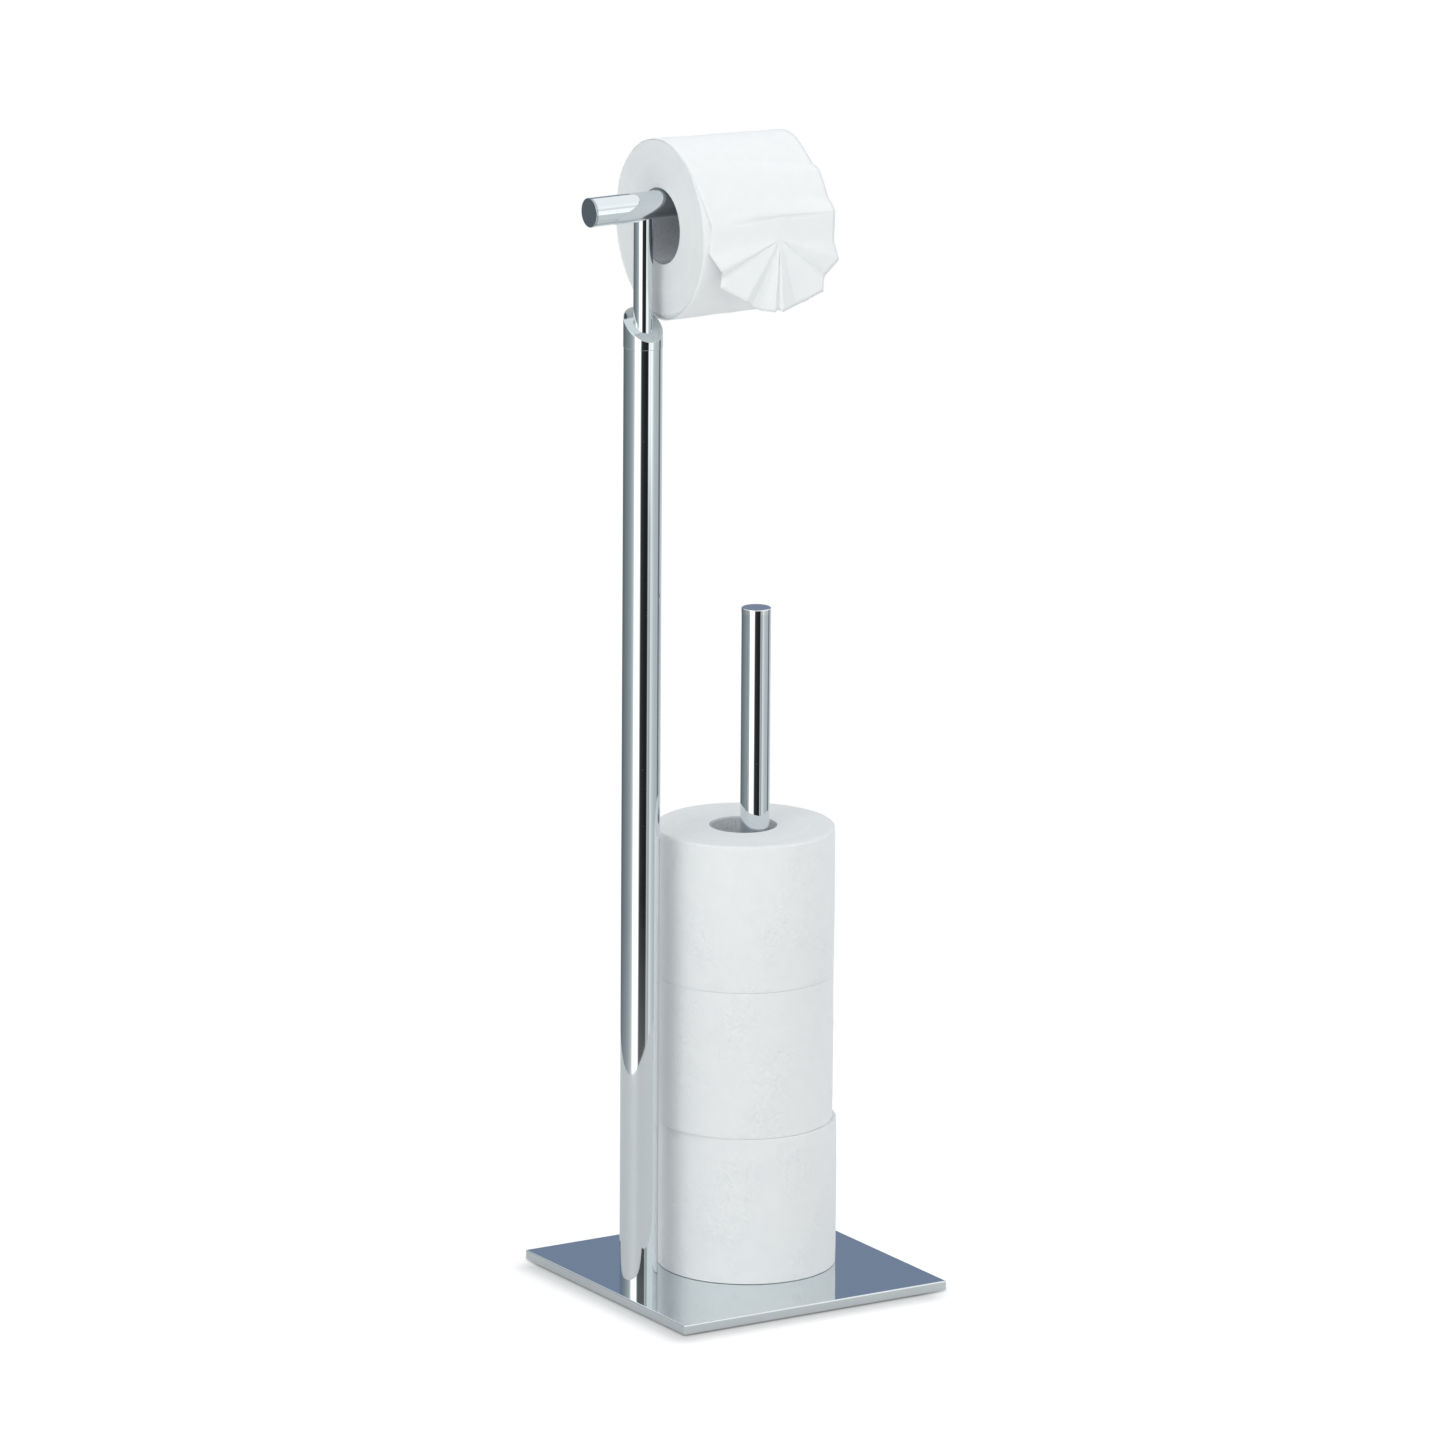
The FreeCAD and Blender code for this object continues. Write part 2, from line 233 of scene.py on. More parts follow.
def studio_light(n):
    """The studio's light by direction: ring, dome, boxes and strips, floor and backdrop."""
    direction = n.add("ShaderNodeTexCoord").outputs["Generated"]
    ahead = n.dot(direction, TOWARDS)
    angle = n.math("ARCTAN2", n.dot(direction, SIDEWAYS), ahead)
    turn = n.math("ADD", n.math("DIVIDE", angle, 2 * math.pi), 0.5)
    height = n.math("MULTIPLY", n.math("ADD", n.dot(direction, (0, 0, 1)), 1.0), 0.5)
    left = by_turn(n, turn, [(-180, 1.0), (-95, 1.0), (-55, 0.0), (160, 0.0), (180, 1.0)])
    right = by_turn(n, turn, [(-180, 0.0), (52, 0.0), (57, 1.0), (150, 1.0), (180, 0.0)])

    ring = [(degrees, dimmed(colour, RING_LEVEL)) for degrees, colour in STUDIO_RING]
    light = by_turn(n, turn, ring, RING_RANGE)
    flare = by_turn(n, turn, [(32, 0.0), (36, 0.8), (45, 1.0), (55, 0.6), (68, 0.0)])
    flare_span = by_height(n, height, [(-0.228, 0.0), (-0.219, 1.0), (0.08, 1.0), (0.12, 0.0)])
    light = added(n, light, n.math("MULTIPLY", flare, flare_span), FLARE)

    # The dome comes down lower on the right.
    overhead = by_height(n, height, [(0.35, 0.0), (0.75, 1.0)])
    dome = n.mix(overhead, n.mix(left, DOME, DOME_LEFT), ZENITH)
    dome_from = by_height(n, height, [(0.28, 0.0), (0.36, 1.0)])
    dome_from_right = by_height(n, height, [(-0.2, 0.0), (-0.15, 1.0)])
    light = n.mix(n.mix(right, dome_from, dome_from_right), light, dome)

    key = by_turn(n, turn, [(-55, 0.0), (-50, 1.0), (-18, 1.0), (-14, 0.0)])
    key_span = by_height(n, height, [(0.28, 0.0), (0.36, 1.0), (0.6, 1.0), (0.72, 0.0)])
    light = added(n, light, n.math("MULTIPLY", key, key_span), KEY)
    rim_span = by_height(n, height, [(-0.2, 0.0), (-0.19, 1.0), (-0.15, 1.0), (-0.13, 0.0)])
    light = added(n, light, n.math("MULTIPLY", right, rim_span), RIM)
    strip_span = by_height(n, height, [(0.2, 0.0), (0.26, STRIP), (0.42, STRIP), (0.5, 0.0)])
    light = n.mix(n.math("MULTIPLY", right, strip_span), light, 0.0)

    under = n.mix(left, n.mix(right, UNDER, UNDER_RIGHT), UNDER_LEFT)
    light = n.mix(by_height(n, height, [(-0.36, 1.0), (-0.26, 0.0)]), light, under)
    behind = n.ramp(n.math("MULTIPLY", ahead, -1.0), [(0.4, 0.0), (0.58, 1.0)])
    slate_span = by_height(n, height, [(0.06, 0.0), (0.16, 1.0), (0.42, 1.0), (0.6, 0.0)])
    return n.mix(n.math("MULTIPLY", behind, slate_span), light, SLATE)


def add_world():
    """The studio for every ray but the camera's own, which meet the plain background."""
    world = bpy.data.worlds.new("studio")
    bpy.context.scene.world = world
    world.use_nodes = True
    tree = world.node_tree
    tree.nodes.clear()
    n = Nodes(tree)
    seen = n.add("ShaderNodeLightPath").outputs["Is Camera Ray"]
    studio = n.add("ShaderNodeBackground", {"Color": studio_light(n), "Strength": 1.0})
    plain = n.add("ShaderNodeBackground", {"Color": BACKGROUND, "Strength": 1.0})
    both = n.add("ShaderNodeMixShader", {"Fac": seen, 1: studio.outputs[0], 2: plain.outputs[0]})
    n.add("ShaderNodeOutputWorld", {"Surface": both.outputs[0]})


TABLE_R = 0.62
TABLE_DROP = 0.1 * MM
TABLE_ROUGH = 0.6
TABLE_WHITE = 0.62
TABLE_LIFT = 0.44  # the glow that brightens the table, where it is seen directly, to the background's white
# The table is painted a little darker in a square round the plate, a painted contact shadow, and its glow
# fades there, so that the shadow shows.
SHADE_MIDDLE = -0.01  # the square's x and y
SHADE_HALF = 0.09  # half the square's side
SHADE_WIDTH = 0.027  # how far outside the square it ends
SHADE_STOPS = [(0.0, 0.85 * TABLE_WHITE), (1.0, TABLE_WHITE)]
LIFT_STOPS = [(0.0, 0.3), (0.1, 0.31), (0.3, 0.46), (0.45, 0.68), (0.68, 0.93), (0.9, 1.0)]


def add_table():
    """A round white table top, a hair under z = 0 so that it isn't level with the pad's underside."""
    mesh = bpy.data.meshes.new("table")
    bm = bmesh.new()
    bmesh.ops.create_circle(bm, cap_ends=True, segments=128, radius=TABLE_R)
    bm.to_mesh(mesh)
    bm.free()
    table = bpy.data.objects.new("table", mesh)
    table.location.z = -TABLE_DROP
    bpy.context.scene.collection.objects.link(table)
    mesh.materials.append(table_material())


def table_material():
    """Plain white, painted a little darker round the plate as a contact shadow, with a glow that only the
    camera's own rays meet.
    """
    material, n, shader = new_material("table_white")
    shader.inputs["Roughness"].default_value = TABLE_ROUGH
    n.set(shader.inputs["Emission Color"], 1.0)
    parts = n.add("ShaderNodeSeparateXYZ", {0: place_of(n)}).outputs
    beyond = []
    for part in parts[:2]:
        off = n.math("ABSOLUTE", n.math("SUBTRACT", part, SHADE_MIDDLE))
        beyond.append(n.math("MAXIMUM", n.math("SUBTRACT", off, SHADE_HALF), 0.0))
    away = n.math("DIVIDE", n.length(*beyond), SHADE_WIDTH)
    # Painted contact shadow: the base colour darkens towards the plate.
    n.set(shader.inputs["Base Color"], n.ramp(away, SHADE_STOPS))
    seen = n.add("ShaderNodeLightPath").outputs["Is Camera Ray"]
    lift = n.math("MULTIPLY", n.ramp(away, LIFT_STOPS), TABLE_LIFT)
    n.set(shader.inputs["Emission Strength"], n.math("MULTIPLY", seen, lift))
    return material


# ---- materials ----------------------------------------------------------------------------------
def new_material(name):
    """A new material, its node tree's helper and its shader."""
    material = bpy.data.materials.new(name)
    material.use_nodes = True
    return material, Nodes(material.node_tree), material.node_tree.nodes["Principled BSDF"]


def place_of(n):
    """The place on the object, in metres in the object's own frame."""
    return n.add("ShaderNodeTexCoord").outputs["Object"]


DUST = (0.42, 0.43, 0.44)


def chrome_material(name, colour):
    """Polished plating: faint clouding, hairline polishing marks and a few specks of dust."""
    material, n, shader = new_material(name)
    place = place_of(n)
    specks = n.cells(n.moved(place, (0.3, 0.1, 0.2)), 7 * MM)
    speck = n.ramp(specks, [(0.022, 1.0), (0.034, 0.0)])
    cloud = n.noise(place, 16 * MM)
    tint = n.ramp(cloud, [(0.3, dimmed(colour, 0.985)), (0.7, colour)])
    n.set(shader.inputs["Base Color"], n.mix(speck, tint, DUST))
    shader.inputs["Metallic"].default_value = 1.0
    rough = n.ramp(cloud, [(0.35, 0.02), (0.75, 0.045)])
    n.set(shader.inputs["Roughness"], n.mix(speck, rough, 0.5))
    marks = n.noise(n.scaled(place, (1.0, 1.0, 0.06)), 0.8 * MM, detail=2.0)
    n.set(shader.inputs["Normal"], n.bump(marks, 0.0006 * MM))
    return material


def steel_material(name, colour, rough, grain):
    """Bare or zinc-plated steel, with a fine mottled grain."""
    material, n, shader = new_material(name)
    place = place_of(n)
    mottle = n.noise(place, grain, detail=4.0)
    n.set(shader.inputs["Base Color"], n.ramp(mottle, [(0.3, dimmed(colour, 0.8)), (0.7, colour)]))
    shader.inputs["Metallic"].default_value = 1.0
    n.set(shader.inputs["Roughness"], n.ramp(mottle, [(0.3, rough), (0.7, rough + 0.15)]))
    n.set(shader.inputs["Normal"], n.bump(mottle, 0.02 * MM))
    return material


def moulded_material(name, colour, rough, grain):
    """A moulded plastic or rubber with a slightly uneven skin."""
    material, n, shader = new_material(name)
    place = place_of(n)
    mottle = n.noise(place, grain, detail=3.0)
    n.set(shader.inputs["Base Color"], n.ramp(mottle, [(0.3, dimmed(colour, 0.85)), (0.7, colour)]))
    n.set(shader.inputs["Roughness"], n.ramp(mottle, [(0.3, rough), (0.7, rough + 0.12)]))
    n.set(shader.inputs["Normal"], n.bump(n.noise(place, grain / 4), 0.05 * MM))
    return material


TISSUE = (0.852, 0.868, 0.872)
TISSUE_SHADE = (0.835, 0.852, 0.858)


def tissue_material(name, emboss, offset):
    """Soft two-ply tissue: fibres, a fine embossed pattern, and crinkles that are emboss metres deep. offset
    shifts them, so that no two rolls are alike."""
    material, n, shader = new_material(name)
    place = n.moved(place_of(n), (offset, offset, offset))
    cloud = n.noise(place, 9 * MM, detail=4.0)
    fibres = n.noise(n.scaled(place, (1.0, 1.0, 0.45)), 0.7 * MM, detail=5.0, rough=0.7)
    tint = n.ramp(cloud, [(0.35, TISSUE_SHADE), (0.65, TISSUE)])
    shaded = n.ramp(fibres, [(0.3, 0.35), (0.6, 0.0)])
    n.set(shader.inputs["Base Color"], n.mix(shaded, tint, TISSUE_SHADE))
    n.set(shader.inputs["Roughness"], n.ramp(fibres, [(0.2, 0.82), (0.8, 0.97)]))
    shader.inputs["Specular IOR Level"].default_value = 0.15
    shader.inputs["Sheen Weight"].default_value = 0.06
    shader.inputs["Sheen Roughness"].default_value = 0.5
    crinkle = n.noise(n.scaled(place, (1.0, 1.0, 0.7)), 4.5 * MM, detail=2.0, rough=0.4, distortion=1.5)
    broad = n.noise(n.scaled(place, (1.0, 1.0, 0.6)), 30 * MM, detail=1.0)
    crinkled = n.ramp(broad, [(0.42, 0.12), (0.62, 1.0)])
    normal = n.bump(n.math("MULTIPLY", crinkle, crinkled), emboss)
    pattern = n.cells(place, 2.4 * MM, feature="SMOOTH_F1")
    normal = n.bump(pattern, 0.04 * MM, under=normal)
    n.set(shader.inputs["Normal"], n.bump(fibres, 0.05 * MM, under=normal))
    return material


CUT = (0.75, 0.765, 0.77)
CUT_SHADE = (0.715, 0.735, 0.74)


def cut_tissue_material():
    """The wound edges of tissue at a roll's end, in rings about the roll's own axis, local Z."""
    material, n, shader = new_material("tissue_wound_edges")
    place = place_of(n)
    parts = n.add("ShaderNodeSeparateXYZ", {0: place}).outputs
    radius = n.length(parts[0], parts[1])
    drift = n.noise(place, 30 * MM, detail=1.0)
    wound = n.math("ADD", radius, n.math("MULTIPLY", drift, 1.2 * MM))
    fine = n.noise(n.joined(wound), 0.5 * MM, detail=2.0, rough=0.6)
    broad = n.noise(n.joined(wound, n.math("MULTIPLY", drift, 4 * MM)), 3.5 * MM, detail=3.0)
    cloud = n.noise(place, 14 * MM, detail=3.0)
    mottle = n.math("ADD", n.math("MULTIPLY", broad, 0.6), n.math("MULTIPLY", cloud, 0.4))
    tint = n.ramp(mottle, [(0.35, CUT_SHADE), (0.62, CUT)])
    shaded = n.ramp(fine, [(0.3, 0.3), (0.55, 0.0)])
    n.set(shader.inputs["Base Color"], n.mix(shaded, tint, CUT_SHADE))
    shader.inputs["Roughness"].default_value = 0.95
    shader.inputs["Specular IOR Level"].default_value = 0.1
    normal = n.bump(broad, 0.22 * MM)
    normal = n.bump(fine, 0.1 * MM, under=normal)
    n.set(shader.inputs["Normal"], n.bump(n.noise(place, 1.1 * MM, detail=4.0), 0.12 * MM, under=normal))
    return material


CARD = (0.72, 0.74, 0.76)
CARD_SHADE = (0.58, 0.6, 0.63)
CUT_CARD = (0.3, 0.31, 0.33)
CUT_CARD_SHADE = (0.2, 0.21, 0.23)
# The hung roll's board: the same grey board painted darker, a painted shade for the inside of its core.
DARK_CARD = (0.65, 0.67, 0.7)
DARK_CARD_SHADE = (0.52, 0.535, 0.565)
FLECK = (0.16, 0.16, 0.18)
CORE_ACROSS = 50 * MM  # a little over a core's outside


def card_material(name, colour, shade, shade_share=1.0):
    """Grey recycled board: pulp fibres and darker flecks. Its last argument is the share of the tone left on
    its low-y side, where a shade is painted.
    """
    material, n, shader = new_material(name)
    place = place_of(n)
    pulp = n.noise(n.scaled(place, (1.0, 1.0, 0.5)), 1.6 * MM, detail=6.0, rough=0.7)
    tint = n.ramp(pulp, [(0.3, shade), (0.65, colour)])
    flecks = n.ramp(n.cells(place, 3.1 * MM), [(0.1, 1.0), (0.16, 0.0)])
    tint = n.mix(n.math("MULTIPLY", flecks, 0.45), tint, FLECK)
    # A painted shade: the low-y side is darkened to the given share of the tone.
    y = n.add("ShaderNodeSeparateXYZ", {0: place}).outputs[1]
    side = n.math("ADD", n.math("DIVIDE", y, CORE_ACROSS), 0.5)
    painted_shade_tone = n.ramp(side, [(0.4, shade_share), (0.6, 1.0)])
    n.set(shader.inputs["Base Color"], n.mix(1.0, tint, painted_shade_tone, "MULTIPLY"))
    n.set(shader.inputs["Roughness"], n.ramp(pulp, [(0.3, 0.75), (0.7, 0.92)]))
    shader.inputs["Specular IOR Level"].default_value = 0.3
    n.set(shader.inputs["Normal"], n.bump(pulp, 0.12 * MM))
    return material


# ---- mesh helpers -------------------------------------------------------------------------------
def make_piece(name, points, faces, materials, material_of=None, matrix=None):
    """A smooth-shaded mesh object. points are in metres, in the object's own frame."""
    mesh = bpy.data.meshes.new(name)
    mesh.from_pydata([tuple(p) for p in points], [], faces)
    for material in materials:
        mesh.materials.append(material)
    if material_of is not None:
        mesh.polygons.foreach_set("material_index", material_of)
    mesh.polygons.foreach_set("use_smooth", [True] * len(mesh.polygons))
    mesh.update()
    piece = bpy.data.objects.new(name, mesh)
    if matrix is not None:
        piece.matrix_world = matrix
    bpy.context.scene.collection.objects.link(piece)
    return piece


def ring_faces(rings, around):
    """Quads of a closed tube: rings of around points each, the last ring joined to the first."""
    faces = []
    for i in range(rings):
        a, b = i * around, (i + 1) % rings * around
        for k in range(around):
            m = (k + 1) % around
            faces.append((a + k, a + m, b + m, b + k))
    return faces


def wobble(x, y, z, size, seed):
    """Smooth noise from -1 to 1 whose bumps are about size across."""
    return noise.noise(Vector((x / size + seed, y / size - seed, z / size + 2 * seed)))


def hump(value, middle, width):
    """A smooth rise to 1 at middle, which is down to about a third at width to either side."""
    return math.exp(-((value - middle) / width) ** 2)


def ride_for(piece, node):
    """piece stands for a CAD node: it rides on that node's body, and the node is hidden."""
    body = next(b for b, nodes in frame["record"]["behaviour"]["bodies"].items() if node in nodes)
    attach(piece, body)
    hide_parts(node)


# ---- rolls --------------------------------------------------------------------------------------
CORE_WALL = 1.0 * MM
BORE_GAP = 0.05 * MM  # between a core and its winding
CRISP = 0.15 * MM  # how far from a winding's ends its bore has a ring that keeps them sharp
BORE_LIP = 0.006  # the same round the bore, as a share of the way out to the side
BORE_STEPS = 8
SIDE_STEPS = 56
FACE_STEPS = 22
RIM_STEPS = 5
AROUND = 256  # points round a roll


class Roll:
    """A roll's place, from its CAD nodes. In its own frame the axis is +Z, from z = 0 to length."""

    def __init__(self, paper, core, along_x=False):
        low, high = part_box(paper)
        core_low, core_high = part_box(core)
        self.paper, self.core = paper, core
        middle = (core_low + core_high) / 2
        if along_x:
            self.length = high.x - low.x
            self.radius = (high.y - low.y) / 2
            self.core_r = (core_high.y - core_low.y) / 2
            self.core_inset = core_low.x - low.x
            turn = Matrix(((0, 0, 1), (0, 1, 0), (-1, 0, 0))).to_4x4()
            self.matrix = Matrix.Translation((low.x, middle.y, middle.z)) @ turn
        else:
            self.length = high.z - low.z
            self.radius = (high.x - low.x) / 2
            self.core_r = (core_high.x - core_low.x) / 2
            self.core_inset = core_low.z - low.z
            self.matrix = Matrix.Translation((middle.x, middle.y, low.z))


def rim_arc(rim):
    """(inward, along) offsets round a rim, from the end face to the side."""
    turns = [math.pi / 2 * i / RIM_STEPS for i in range(RIM_STEPS + 1)]
    return [(rim * (1 - math.sin(t)), rim * (1 - math.cos(t))) for t in turns]


def winding_profile(roll, rims):
    """(share of the way from bore to side, inward offset, along, is cut) points of a winding's section. The
    loop goes up the bore, out over the top, down the side and back. The bore counts as cut, like the ends."""
    low_rim, high_rim = rims
    length = roll.length
    stations = [0.0, CRISP]
    stations += [length * i / BORE_STEPS for i in range(1, BORE_STEPS)]
    stations += [length - CRISP, length]
    loop = [(0.0, 0.0, z, True) for z in stations]
    loop.append((BORE_LIP, 0.0, length, True))
    for i in range(1, FACE_STEPS):
        loop.append((i / FACE_STEPS, high_rim * i / FACE_STEPS, length, True))
    for inward, along in rim_arc(high_rim):
        loop.append((1.0, inward, length - along, along < 0.5 * high_rim))
    span = length - low_rim - high_rim
    for i in range(1, SIDE_STEPS):
        loop.append((1.0, 0.0, length - high_rim - span * i / SIDE_STEPS, False))
    for inward, along in reversed(rim_arc(low_rim)):
        loop.append((1.0, inward, along, along < 0.5 * low_rim))
    for i in range(FACE_STEPS - 1, 0, -1):
        loop.append((i / FACE_STEPS, low_rim * i / FACE_STEPS, 0.0, True))
    loop.append((BORE_LIP, 0.0, 0.0, True))
    return loop


def side_bumps(x, y, z, seed):
    """How far a winding's side is out of true: small bumps on broad ones."""
    return MM * (0.16 * wobble(x, y, z, 11 * MM, seed) + 0.22 * wobble(x, y, z, 34 * MM, seed))


def end_lines(x, y, radius, seed):
    """How far a winding's end is out of flat: rings of wound layers on broad waves."""
    return MM * (0.16 * wobble(radius, 0, 0, 2.6 * MM, seed) + 0.2 * wobble(x, y, 0, 22 * MM, seed))


def make_winding(name, roll, rims, side_radius, shift, seed, materials):
    """A winding of tissue. side_radius(along, angle) and shift(x, y, along, share) give its true shape."""
    loop = winding_profile(roll, rims)
    bore = roll.core_r + BORE_GAP
    points = []
    for share, inward, along, _ in loop:
        for k in range(AROUND):
            angle = 2 * math.pi * k / AROUND
            side = side_radius(along, angle)
            radius = bore + share * (side - bore) - inward
            x, y = radius * math.cos(angle), radius * math.sin(angle)
            z = along
            if share == 1.0:
                radius += side_bumps(x, y, z, seed)
                x, y = radius * math.cos(angle), radius * math.sin(angle)
            if along in (0.0, roll.length) and 0 < share < 1:
                z += end_lines(x, y, radius, seed)
            points.append(shift(x, y, z, share))
    cut_rings = [a[3] and b[3] for a, b in zip(loop, loop[1:] + loop[:1])]
    material_of = [int(is_cut) for is_cut in cut_rings for _ in range(AROUND)]
    piece = make_piece(name, points, ring_faces(len(loop), AROUND), materials, material_of, roll.matrix)
    ride_for(piece, roll.paper)


SEAM_PITCH = 74 * MM  # how far the core's spiral seam climbs in one turn
SEAM_STEP = 0.22 * MM
SEAM_WIDTH = 0.03  # as a share of a turn
CORE_SOFT = 0.25 * MM  # how far the ends' corners are rubbed down
CORE_RIPPLE = 0.12 * MM
CORE_STEPS = 40


def make_core(name, roll, materials, seed):
    """A spiral-wound card tube, with a small step along its seam and slightly soft ends."""
    length = roll.length - 2 * roll.core_inset
    outer, inner = roll.core_r, roll.core_r - CORE_WALL
    soft = CORE_SOFT
    stations = [soft + (length - 2 * soft) * i / CORE_STEPS for i in range(CORE_STEPS + 1)]
    stations[1:1] = [2 * soft]
    stations[-1:-1] = [length - 2 * soft]
    loop = [(inner + soft, 0.0)] + [(inner, z) for z in stations] + [(inner + soft, length)]
    loop += [(outer - soft, length)] + [(outer, z) for z in reversed(stations)] + [(outer - soft, 0.0)]
    points = []
    for radius, along in loop:
        inside = radius < (inner + outer) / 2
        for k in range(AROUND):
            share = k / AROUND
            angle = 2 * math.pi * share
            x, y = math.cos(angle), math.sin(angle)
            r = radius
            if inside:
                lap = (share - along / SEAM_PITCH) % 1.0
                r += SEAM_STEP * max(0.0, 1 - lap / SEAM_WIDTH)
                r += CORE_RIPPLE * wobble(x, y, along / (8 * MM), 0.8, seed)
            points.append((r * x, r * y, along + roll.core_inset))
    cut_rings = [a == b and a in (0.0, length) for (_, a), (_, b) in zip(loop, loop[1:] + loop[:1])]
    material_of = [int(is_cut) for is_cut in cut_rings for _ in range(AROUND)]
    piece = make_piece(name, points, ring_faces(len(loop), AROUND), materials, material_of, roll.matrix)
    ride_for(piece, roll.core)


# For each spare roll, in mm: the rims' radii below and above, how far its winding's side sits off the core,
# and how much its radius is short of the full one.
SPARE_RIMS = {"spare_bottom": (0.4, 0.3), "spare_middle": (0.3, 0.3), "spare_top": (0.3, 1.5)}
SPARE_SHIFT = {"spare_bottom": (3.1, -1.9), "spare_middle": (0.95, -0.55), "spare_top": (0.9, -0.55)}
SPARE_SHRINK = {"spare_bottom": 0.2, "spare_middle": 0.3, "spare_top": 0.1}
SPARE_GAP = 0.3 * MM  # between the CAD windings; the soft ones all but close it
LAP_ANGLE = math.radians(130)  # where the last layer ends, at the back
LAP_STEP = 0.35 * MM  # how far the last layer stands out there
SPARE_BELLY = 0.35 * MM  # how much wider a spare roll is halfway up
END_WAVE = 0.45 * MM
ON_PLATE = 20 * MM  # a roll that starts lower than this stands on the plate, which is flat


def make_spare(name, seed, materials, card):
    """A roll on the post: an even winding, a little off its core, whose ends follow the next roll's."""
    roll = Roll(name + "_paper", name + "_core")
    shift_x, shift_y = [MM * v for v in SPARE_SHIFT[name]]
    shrink = SPARE_SHRINK[name] * MM

    def side_radius(along, angle):
        lap = ((angle - LAP_ANGLE) / (2 * math.pi)) % 1.0
        belly = SPARE_BELLY * math.sin(math.pi * along / roll.length)
        return roll.radius - shrink - LAP_STEP + belly + LAP_STEP * lap

    def end_wave(angle, level):
        """How far out of flat the end at a level is; the two ends that meet there follow each other."""
        return END_WAVE * wobble(math.cos(angle), math.sin(angle), level / (30 * MM), 0.55, 4.4)

    def shift(x, y, z, share):
        angle = math.atan2(y, x)
        up = min(1.0, max(0.0, z / roll.length))
        near_top, near_base = up ** 6, (1 - up) ** 6
        base = roll.matrix.translation.z
        wave = end_wave(angle, base + roll.length + SPARE_GAP) * near_top
        if base > ON_PLATE:
            wave += end_wave(angle, base) * near_base
        close = 0.4 * SPARE_GAP * (near_top - near_base)
        return x + shift_x * share, y + shift_y * share, z + wave * share ** 3 + close

    rims = [MM * r for r in SPARE_RIMS[name]]
    make_winding(name + "_winding", roll, rims, side_radius, shift, seed, materials)
    make_core(name + "_tube", roll, card, seed)


# The roll in use hangs loosely on the bar: it is a little turned and lower, and narrower at its far end.
HANG_TURN = math.radians(-2.1)
HANG_DROP = 1.5 * MM
NEAR_SIDE_R = 56.4 * MM
FAR_SIDE_R = 50.5 * MM
FAR_END_SHORT = 1.3 * MM
NEAR_END_INSET = 0.2 * MM
NEAR_END_BULGE = 1.0 * MM  # how far the near end's middle stands out from its rim
SAG = 2.85 * MM  # how far the outer layers have come loose underneath
SAG_FROM, SAG_WIDTH = 0.8 * MM, 1.4 * MM  # where along the roll that starts, and over what length it comes in
PRESSED = 3.6 * MM  # how far the far end is pressed in, high in front
RAISED = 1.6 * MM  # and how far it stands out on top
HANG_BACK = 2.3 * MM  # how far back the near end's outline lies
HANG_FORWARD = 1.2 * MM  # and how far forward the far end's
HANG_RIMS = (0.8 * MM, 1.2 * MM)
HANG_SEED = 7.3


def make_hung_roll(materials, card):
    """The roll in use, whose side sits off its core and sags, with its near end at z = 0."""
    roll = Roll("roll_paper", "roll_core", along_x=True)

    def side_radius(along, angle):
        share = along / roll.length
        rise = math.degrees(math.atan2(-math.cos(angle), -math.sin(angle)))  # above the front, in degrees
        pressed = (PRESSED * hump(rise, 48, 30) - RAISED * hump(rise, 105, 26)) * share
        come_in = min(1.0, max(0.0, (along - SAG_FROM) / SAG_WIDTH))
        loose = SAG * hump(rise, -88, 34) * come_in
        return NEAR_SIDE_R + (FAR_SIDE_R - NEAR_SIDE_R) * share ** 1.4 - pressed + loose

    def shift(x, y, z, share):
        along = z / roll.length
        back = HANG_BACK - (HANG_FORWARD + HANG_BACK) * along
        z = NEAR_END_INSET + z * (roll.length - FAR_END_SHORT - NEAR_END_INSET) / roll.length
        z += -math.tan(HANG_TURN) * y * (0.35 + 0.65 * share)
        z -= NEAR_END_BULGE * (1 - share ** 2) * (1 - along) ** 4
        return x + HANG_DROP * share, y + back * share, z

    make_winding("roll_in_use_winding", roll, HANG_RIMS, side_radius, shift, HANG_SEED, materials)
    make_core("roll_in_use_tube", roll, card, HANG_SEED)


# ---- the loose sheet ----------------------------------------------------------------------------
# The roll's last turn and its free end, in mm in the object's own frame: x along the bar, y towards the back
# and z up. It goes round under the roll, up the back, over the top and down the front to a crease, where it
# hangs. Its end is pleated and spread into a fan. Near is the left edge, far is the right one.
SHEET_THICK = 0.35
ROLL_AXIS_Z = 706.5
HUNG_AXIS_Z = ROLL_AXIS_Z - HANG_DROP / MM
NEAR_AXIS_Y, FAR_AXIS_Y = HANG_BACK / MM, -HANG_FORWARD / MM
NEAR_FACE_X = -60.85  # the hung winding's near end, at y = 0
SHEET_LEFT_X, SHEET_RIGHT_X = -60.6, 33.2

# The last turn, as its radius at each edge. Degrees are above the front.
TURN_START, TURN_END = 52.0, -270.0
TURN_STEPS = 108
TURN_WIDER = 0.3  # how much further right the last turn reaches than what hangs in front
TURN_NEAR_R, TURN_FAR_R = 56.8, 51.4
TURN_NEAR_SAG, TURN_FAR_SAG = 2.7, 6.5
TURN_FAR_PRESSED = 4.2
TURN_FAR_RAISED = 2.8

